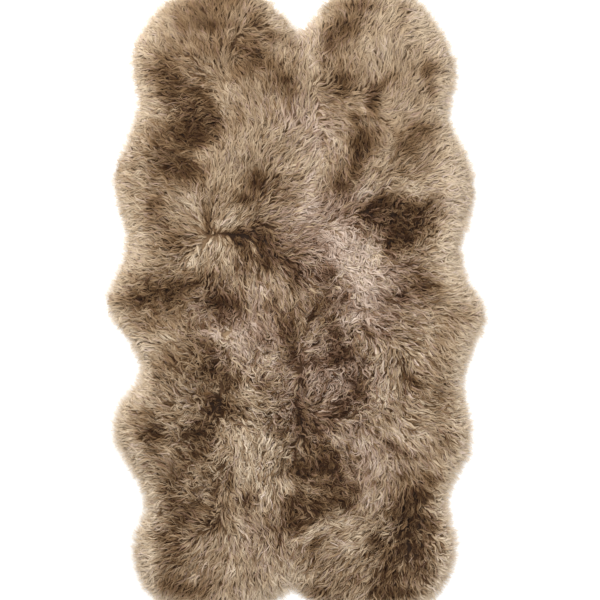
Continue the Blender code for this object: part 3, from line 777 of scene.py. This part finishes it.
def skin_material():
    """Tanned skin seen from below: pale suede with faint stains and pores."""
    skin = Nodes("tanned_skin")
    shades = ((0.32, (176, 150, 116)), (0.50, (202, 180, 148)), (0.70, (219, 201, 172)))
    colour, place = skin.mottled(shades, scale=9.0, detail=8.0)
    pores = {"Height": skin.noise(place, scale=900.0, detail=6.0), "Strength": 0.5, "Distance": 0.0006}
    bump = skin.add("ShaderNodeBump", pores).outputs["Normal"]
    skin.give(skin.shader, {"Base Color": colour, "Roughness": 0.85, "Sheen Weight": 0.25, "Normal": bump})
    return skin.material


def thread_material():
    thread = Nodes("sewing_thread")
    shades = ((0.35, (150, 126, 96)), (0.65, (188, 166, 134)))
    colour, _ = thread.mottled(shades, scale=1500.0, detail=2.0)
    thread.give(thread.shader, {"Base Color": colour, "Roughness": 0.70})
    return thread.material


def make_skin(rug, pelt, material):
    """The bare skin below the wool of one pelt, a thin sheet with both its faces and its edge."""
    flat, triangles, rim_count = filled(rug.loop(pelt, SKIN_INSET), SKIN_PITCH)
    height = SKIN_BOTTOM + SKIN_RIPPLE * (1 + rolling_noise(flat, *SKIN_SWELLS))
    bottom = np.column_stack([flat, height])
    top = bottom + (0, 0, SKIN_THICKNESS)
    count = len(flat)
    faces = [*triangles[:, ::-1], *(triangles + count)]
    for at in range(rim_count):
        beyond = (at + 1) % rim_count
        faces.append((at, beyond, beyond + count, at + count))
    skin = new_object(pelt.replace("pelt", "skin"), [*bottom, *top], faces, material)
    area = float(np.abs(doubled_areas(flat[triangles])).sum() / 2)
    size = flat.max(axis=0) - flat.min(axis=0)
    return skin, (float(size[0]), float(size[1])), area


def make_coat(rug, pelt, material):
    """The matted undercoat of one pelt, seen only between the locks, painted darker than the wool as the
    shade there.
    """
    flat, triangles, _ = filled(rug.loop(pelt, COAT_INSET), COAT_PITCH)
    height = rug.height.at(flat) * COAT_SHARE + COAT_LUMP * rolling_noise(flat, *COAT_SWELLS)
    at_rim = rug.depth.at(flat) < COAT_INSET + COAT_EDGE
    height = np.where(at_rim, SKIN_BOTTOM + SKIN_THICKNESS, np.maximum(height, COAT_LOWEST))
    points = np.column_stack([flat, height])
    coat = new_object(pelt.replace("pelt", "undercoat"), points, triangles, material)
    tone = np.clip(rug.tone.at(flat) - COAT_SHADE_TONE, TONE_LIMITS[0], LIGHTEST)
    # At the root's place on the map, so the undercoat takes the painted root shade too
    spots = np.column_stack([tone, np.full(len(flat), ROOT_PLACE)])
    coat.data.uv_layers.new(name=MAP_NAME).uv.foreach_set("vector", spots[triangles].reshape(-1))
    return coat


def chart_heading(pelt, places):
    """Where the tips point at each place, by the chart of the pelt, as steps of length 1."""
    along = np.zeros(places.shape)
    for x, y, heading in FLOW[pelt]:
        away = ((places - (x * CM, y * CM)) ** 2).sum(axis=1)
        weight = np.exp(-away / (2 * FLOW_REACH**2)) + FAR_WEIGHT / (away + FAR_EASE)
        along += weight[:, None] * directions(math.radians(heading))
    return unit(along)


def chart_tone(places):
    """How light the wool is at each place, by the chart of patches."""
    tone = np.full(places.shape[:-1], MEAN_TONE)
    for x, y, length, width, change, *heading in PATCHES:
        ahead = directions(math.radians(heading[0] if heading else 0))
        away = places / CM - np.array([x, y]) * CHART_SCALE
        along = away @ ahead / length
        across = cross_product(ahead, away) / width
        tone += PATCH_STRENGTH * change * np.exp(-(along**2 + across**2))
    return tone


def chart_spots(places, spots, floor):
    """How much of something there is at each place, by a chart of round spots."""
    amount = np.full(places.shape[:-1], floor)
    for x, y, reach, most in spots:
        away = np.linalg.norm(places / CM - (x, y), axis=-1)
        amount = np.maximum(amount, most * np.exp(-((away / reach) ** 2)))
    return amount


def lock_roots(rug, pelt, pitch, chance):
    """Where the locks of one pelt stand, evenly but not in rows."""
    loop = rug.loop(pelt, ROOT_INSET)
    roots = even_grid(loop, pitch)
    roots += chance.uniform(-LOCK_JITTER, LOCK_JITTER, roots.shape) * pitch
    return roots[inside_loop(roots, loop)]


def lay_of_wool(rug, pelt, places, chance):
    """The heading of the wool at each place, with its drift from lock to lock."""
    curl = rug.curl.at(places)
    depth = np.maximum(rug.depth.at(places), 0)
    pull = np.exp(-((depth / RIM_TURN) ** 2))[:, None]
    lie = chart_heading(pelt, places) * (1 - pull) + both_at(rug.outward, places) * pull * RIM_PULL
    heading = np.arctan2(lie[:, 1], lie[:, 0])
    heading += np.radians(LOCK_DRIFT) * (1 + CURLY_DRIFT * curl) * rolling_noise(places, *LIE_SWELLS)
    heading += np.radians(LOCK_TURN) * (1 + CURLY_TURN * curl) * chance.normal(0, 1, len(places))
    return heading, curl, depth


def parting_at(pelt, places):
    """How much the wool lies apart: 0 where it runs one way, 1 where it turns away on all sides."""
    apart = 0
    for axis, step in enumerate(np.eye(2) * PARTING_REACH):
        apart += chart_heading(pelt, places + step)[:, axis] - chart_heading(pelt, places - step)[:, axis]
    return np.clip(apart / 4, 0, 1)


def grow_locks(rug, pelt, layer, material):
    """One layer of a pelt's wool: locks that are rounded across and pointed, each of narrow strands."""
    chance = np.random.default_rng(layer.seed + PELTS.index(pelt))
    roots = lock_roots(rug, pelt, layer.pitch, chance)
    count = len(roots)
    heading, curl, depth = lay_of_wool(rug, pelt, roots, chance)
    tone = LOCK_SUNK_TONE * (1 - chance.exponential(1, count)) + LOCK_TONE * chance.uniform(-1, 1, count)
    length = LOCK_LENGTH * layer.length * chance.uniform(*LOCK_LENGTHS, count)
    length *= 1 - CURLY_SHORTER * curl
    to_rim = depth + LOCK_REACH * chance.uniform(*RIM_REACHES, count)
    length = np.where(depth < RIM_BAND, np.clip(length, RIM_LEAST * to_rim, to_rim), length)
    dark = np.clip(1 - 2 * rug.tone.at(roots), 0, 1)
    apart = parting_at(pelt, roots)
    length *= (1 - SHORTER_DARK * dark) * (1 - PARTING_SHORTER * apart)
    fineness = (1 - FINER_DARK * dark) * (1 - PARTING_FINER * apart)
    turn = np.radians(LOCK_CURL) * (STRAIGHT_CURL + curl) * chance.normal(0, 1, count)
    rise = chance.normal(0, TIP_RISE, count)
    lay = chance.normal(0, LOCK_LAY, count)
    radius = LOCK_RADIUS * layer.radius * chance.uniform(*LOCK_RADII, count)
    wave = LOCK_WAVE * (STRAIGHT_WAVE + CURLY_WAVE * curl) * chance.uniform(*LOCK_WAVES, count)
    wave_start = math.tau * rolling_noise(roots, *WAVE_SWELLS) + chance.normal(0, LOCK_OFFSET, count)

    total = count * layer.strands

    def each(values):
        return np.repeat(values, layer.strands, axis=0)

    sides = np.tile(np.linspace(-1, 1, layer.strands), count)
    across = sides + chance.normal(0, STRAND_SCATTER, total)
    stagger = chance.uniform(-STRAND_STAGGER, STRAND_STAGGER, total)
    start = each(roots) + directions(each(heading)) * stagger[:, None]
    stray = np.where(chance.uniform(0, 1, total) < STRAY_SHARE, STRAY_TURN, 1.0)
    shadow = LOCK_SIDE_TONE * np.maximum(across, 0) ** 3
    return strands_object(
        rug, pelt.replace("pelt", layer.name), layer, material,
        start=start,
        across=across,
        radius=each(radius),
        heading=each(heading) + np.radians(STRAND_TURN) * stray * chance.normal(0, 1, total),
        turn=each(turn) + np.radians(STRAND_CURL) * stray * chance.normal(0, 1, total),
        tone=each(tone) - shadow - STRAND_TONE * chance.exponential(1, total),
        rosy=chance.uniform(0, 1, total) < rug.rosy.at(start),
        length=each(length) * (1 - SIDE_SHORTER * across**2) * chance.uniform(*STRAND_LENGTHS, total),
        mixed=LOCK_MIX * each(chance.uniform(-1, 1, count)) + STRAND_MIX * chance.uniform(-1, 1, total),
        lay=each(lay),
        rise=each(rise) + chance.normal(0, STRAND_RISE, total),
        roll=-LOCK_LEAN * across + chance.normal(0, STRAND_ROLL, total),
        wave=each(wave) * chance.uniform(*STRAND_WAVES, total),
        wave_start=each(wave_start) + chance.normal(0, STRAND_OFFSET, total),
        width=STRAND_WIDTH * layer.width * chance.uniform(*STRAND_WIDTHS, total) * each(fineness),
        root=layer.root + (PARTING_ROOT - layer.root) * np.minimum(1, PARTING_GAIN * each(apart)),
    )


def grow_fringe(rug, pelt, material):
    """The fine ends of wool at the free rim of a pelt, thinning out over the floor."""
    chance = np.random.default_rng(FRINGE.seed + PELTS.index(pelt))
    loop = rug.loop(pelt, 0.0)
    low = loop.min(axis=0) - FRINGE.margin
    size = loop.max(axis=0) + FRINGE.margin - low
    tries = low + size * chance.uniform(0, 1, (FRINGE.tries, 2))
    depth = rug.depth.at(tries)
    starts = tries[(depth > FRINGE.outermost) & (depth < FRINGE.innermost)]
    starts = starts[inside_loop(starts, loop)]
    heading, _, depth = lay_of_wool(rug, pelt, starts, chance)
    total = len(starts)
    past_rim = FRINGE.shortest + (FRINGE.longest - FRINGE.shortest) * chance.uniform(0, 1, total) ** 2
    return strands_object(
        rug, pelt.replace("pelt", FRINGE.name), FRINGE, material,
        start=starts,
        heading=heading + chance.normal(0, np.radians(FRINGE.turn), total),
        turn=chance.normal(0, np.radians(FRINGE.curl), total),
        tone=chance.normal(FRINGE.tone, FRINGE.tone_drift, total),
        rosy=chance.uniform(0, 1, total) < rug.rosy.at(starts),
        length=depth + LOCK_REACH * past_rim,
        rise=chance.normal(0, FRINGE.rise, total),
        roll=chance.normal(0, FRINGE.roll, total),
        wave=FRINGE.wave * chance.uniform(*FRINGE.wave_range, total),
        wave_start=chance.uniform(0, math.tau, total),
        width=STRAND_WIDTH * FRINGE.width * chance.uniform(*FRINGE.width_range, total),
        root=np.full(total, FRINGE.root),
        **dict.fromkeys(("across", "radius", "mixed", "lay"), np.zeros(total)),
    )


def strands_object(rug, name, layer, material, **values):
    """Each strand follows the surface of the wool from its root to its tip as a narrow tapering ribbon."""
    strand = SimpleNamespace(**{key: value[:, None] for key, value in values.items()})
    shares = np.array(layer.stations)
    halfway = (shares[1:] + shares[:-1]) / 2
    run = np.diff(shares * (ROOT_SPEED + (1 - ROOT_SPEED) * shares))
    steps = directions(strand.heading + strand.turn * halfway) * (run * strand.length)[..., None]
    places = np.cumsum(np.concatenate([strand.start, steps], axis=1), axis=1)
    swing = math.tau * layer.waves * shares + strand.wave_start
    fullness = 1 - (1 - layer.tip) * shares**TAPER
    aside = strand.wave * np.sin(swing) * np.minimum(1, WAVE_EASE * shares)
    aside += strand.across * strand.radius * fullness
    final = strand.heading + strand.turn * shares
    places[..., 0] += np.sin(final) * aside
    places[..., 1] -= np.cos(final) * aside

    lifted = 1 - (1 - shares) ** layer.lift
    surface = rug.height.at(places)
    height = surface[:, :1] * strand.root * (1 - lifted) + surface * layer.top * lifted
    height += strand.lay * np.minimum(1, surface / LAY_HEIGHT) + strand.rise * shares
    height -= LOCK_CROWN * strand.radius * strand.across**2 * fullness
    height = np.clip(height, LOWEST, HIGHEST)
    points = np.concatenate([places, height[..., None]], axis=2)

    ahead = np.gradient(points, axis=1)
    up = np.concatenate([both_at(rug.fall, places), np.ones((*height.shape, 1))], axis=2)
    side = unit(np.cross(ahead, up))
    roll = strand.roll[..., None]
    side = side * np.cos(roll) + np.cross(side, unit(ahead)) * np.sin(roll)
    half = side * (strand.width * layer.widths / 2)[..., None]
    edges = np.stack([points - half, points + half], axis=2)[:, :-1]
    corners = np.concatenate([edges.reshape(len(points), -1, 3), points[:, -1:]], axis=1)
    corners[..., 2] = np.maximum(corners[..., 2], LOWEST_EDGE)

    base = rug.tone.at(places)
    crisp = rug.crisp.at(places)
    middle = strand.tone.mean()
    contrast = DARK_CONTRAST + (LIGHT_CONTRAST - DARK_CONTRAST) * np.clip(base, 0, 1)
    mixed = MIXED_DARK * np.clip(1 - base, 0, 1) ** 2 * strand.mixed
    spread = crisp * (contrast * (strand.tone - middle) + mixed) - CRISP_DARKER * contrast * (crisp - 1)
    most = np.where(spread > 0, MOST_PALER, MOST_DARKER * crisp)
    tone = np.clip(base + middle + most * np.tanh(spread / most), *TONE_LIMITS)
    return ribbon_object(name, corners, tone, strand.rosy, shares, material)


def ribbon_object(name, corners, tone, rosy, shares, material):
    """One mesh of many ribbons, each of quads in a row with a triangle for its tip."""
    count, per, _ = corners.shape
    tip = per - 1
    faces = [(at, at + 1, at + 3, at + 2) for at in range(0, tip - 2, 2)]
    faces.append((tip - 2, tip - 1, tip))
    sizes = [len(face) for face in faces]
    loops = np.concatenate(faces)
    station = loops // 2
    across = np.where(loops == tip, 0, loops % 2 * 2 - 1)
    all_loops = (loops + per * np.arange(count)[:, None]).reshape(-1)
    starts = np.concatenate([[0], np.cumsum(np.tile(sizes, count))[:-1]])
    mesh = bpy.data.meshes.new(name)
    mesh.vertices.add(count * per)
    mesh.vertices.foreach_set("co", corners.reshape(-1))
    mesh.loops.add(len(all_loops))
    mesh.loops.foreach_set("vertex_index", all_loops)
    mesh.polygons.add(len(starts))
    mesh.polygons.foreach_set("loop_start", starts)
    spots = np.empty((count, len(loops), 2), np.float32)
    spots[..., 0] = tone[:, station] + across * STRAND_PLACE
    spots[..., 1] = ROOT_PLACE + (TIP_PLACE - ROOT_PLACE) * shares[station] + ROSY_PLACE * rosy
    mesh.uv_layers.new(name=MAP_NAME).uv.foreach_set("vector", spots.reshape(-1))
    mesh.update(calc_edges=True)
    mesh.shade_smooth()
    mesh.validate()
    mesh.materials.append(material)
    return placed(name, mesh)


def along_line(line, pitch):
    """Evenly spaced places on a line, with the direction at each."""
    steps = np.linalg.norm(np.diff(line, axis=0), axis=1)
    along = np.concatenate([[0.0], np.cumsum(steps)])
    wanted = np.arange(pitch / 2, along[-1], pitch)
    places = np.stack([np.interp(wanted, along, line[:, axis]) for axis in (0, 1)], axis=1)
    return places, unit(np.gradient(places, axis=0))


def make_stitches(lines, material):
    """Slanting stitches of thread that hold two skins edge to edge, as small bars."""
    points = []
    faces = []
    for line in lines:
        for index, (place, ahead) in enumerate(zip(*along_line(line, STITCH_PITCH))):
            lean = STITCH_LEAN if index % 2 else -STITCH_LEAN
            reach = unit(np.array([-ahead[1], ahead[0]]) + ahead * lean)
            aside = np.array([-reach[1], reach[0]]) * STITCH_RADIUS
            first = len(points)
            for share, fullness in STITCH_RINGS:
                middle = place + reach * share * STITCH_LENGTH / 2
                for turn in range(STITCH_SIDES):
                    swing = math.tau * turn / STITCH_SIDES
                    spot = middle + aside * math.cos(swing) * fullness
                    lift = STITCH_RADIUS * (1 + math.sin(swing) * fullness) - STITCH_DIP * fullness
                    points.append((*spot, max(SKIN_BOTTOM + lift, STITCH_LOWEST)))
            for start in range(first, len(points) - STITCH_SIDES, STITCH_SIDES):
                for turn in range(STITCH_SIDES):
                    here = start + turn
                    beside = start + (turn + 1) % STITCH_SIDES
                    faces.append((here, beside, beside + STITCH_SIDES, here + STITCH_SIDES))
    return new_object("seam_stitches", points, faces, material)


# Layers of wool: lengths, radii and widths are shares of the usual, and the stations run from root to tip
LAYERS = (
    SimpleNamespace(
        name="underwool", seed=100, pitch=0.0190, strands=5,
        length=0.85, radius=2.2, width=2.9,
        root=0.75, top=0.93, lift=1.5, tip=0.6, waves=1.0,
        stations=(0.0, 0.45, 0.80, 1.0),
        widths=(0.90, 1.0, 0.70, 0.0),
    ),
    SimpleNamespace(
        name="wool", seed=200, pitch=0.0125, strands=6,
        length=1.0, radius=1.0, width=1.0,
        root=0.84, top=1.0, lift=1.5, tip=0.50, waves=1.6,
        stations=(0.0, 0.22, 0.42, 0.62, 0.82, 1.0),
        widths=(0.80, 1.05, 1.1, 1.05, 0.85, 0.0),
    ),
)

# Fine wool at the rim: it starts between the outermost and innermost depth, and is longer by the depth
FRINGE = SimpleNamespace(
    name="fringe", seed=300, tries=110000, margin=0.005,
    outermost=-0.002, innermost=0.022, shortest=0.40, longest=1.40,
    # The fringe's tone is set a little above the wool around it, painted light at the rim
    turn=9.0, curl=22.0, rise=0.002, roll=0.5, tone=0.06, tone_drift=0.10,
    wave=0.0010, wave_range=(0.4, 1.5), width=0.42, width_range=(0.6, 1.3),
    root=0.35, top=0.80, lift=1.2, tip=1.0, waves=1.0,
    stations=(0.0, 0.50, 0.80, 1.0),
    widths=(1.0, 0.9, 0.6, 0.0),
)


def build_rug():
    rug = Rug()
    wool = wool_material()
    skin_look = skin_material()
    for pelt in PELTS:
        skin, flat, area = make_skin(rug, pelt, skin_look)
        pieces = [skin, make_coat(rug, pelt, wool), grow_fringe(rug, pelt, wool)]
        for layer in LAYERS:
            pieces.append(grow_locks(rug, pelt, layer, wool))
        for piece in pieces:
            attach(piece, "root")
        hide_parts(pelt)
    lines = (rug.whole_seam("top", "bottom"), rug.whole_seam("left", "right"))
    stitches = make_stitches(lines, thread_material())
    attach(stitches, "root")


def make_floor():
    """A plain pale floor under the rug."""
    half = 6.0
    corners = [(-half, -half, 0), (half, -half, 0), (half, half, 0), (-half, half, 0)]
    look = Nodes("pale_floor")
    look.give(look.shader, {"Base Color": (0.90, 0.90, 0.90, 1.0), "Roughness": 0.9})
    new_object("floor", corners, [(0, 1, 2, 3)], look.material)


def add_light(name, place, size, power, colour):
    light = bpy.data.lights.new(name, "AREA")
    light.shape = "DISK"
    light.size = size
    light.energy = power
    light.color = colour
    lamp = placed(name, light)
    lamp.location = place
    lamp.rotation_euler = (-Vector(place)).to_track_quat("-Z", "Y").to_euler()


def light_scene():
    world = bpy.data.worlds.new("studio")
    world.use_nodes = True
    sky = world.node_tree.nodes["Background"].inputs
    sky["Color"].default_value = (1.0, 1.0, 1.0, 1.0)
    sky["Strength"].default_value = 0.80
    bpy.context.scene.world = world
    add_light("key", place=(-1.6, 2.4, 3.4), size=1.2, power=175, colour=(1.0, 0.985, 0.96))
    add_light("fill", place=(2.6, -1.6, 3.0), size=2.4, power=60, colour=(0.97, 0.985, 1.0))
    bpy.context.scene.view_settings.view_transform = "Standard"


def add_camera():
    """Straight above the rug, as the photo was taken; the rug's ends run just out of the picture."""
    lens = 85.0
    sensor = 36.0
    seen_width = 1.746
    seen_height = 0.030
    to_right = 0.010
    view = bpy.data.cameras.new("camera")
    view.lens = lens
    view.sensor_width = sensor
    camera = placed("camera", view)
    camera.location = (to_right, 0.0, seen_width * lens / sensor + seen_height)
    bpy.context.scene.camera = camera


build_rug()
make_floor()
add_camera()
light_scene()
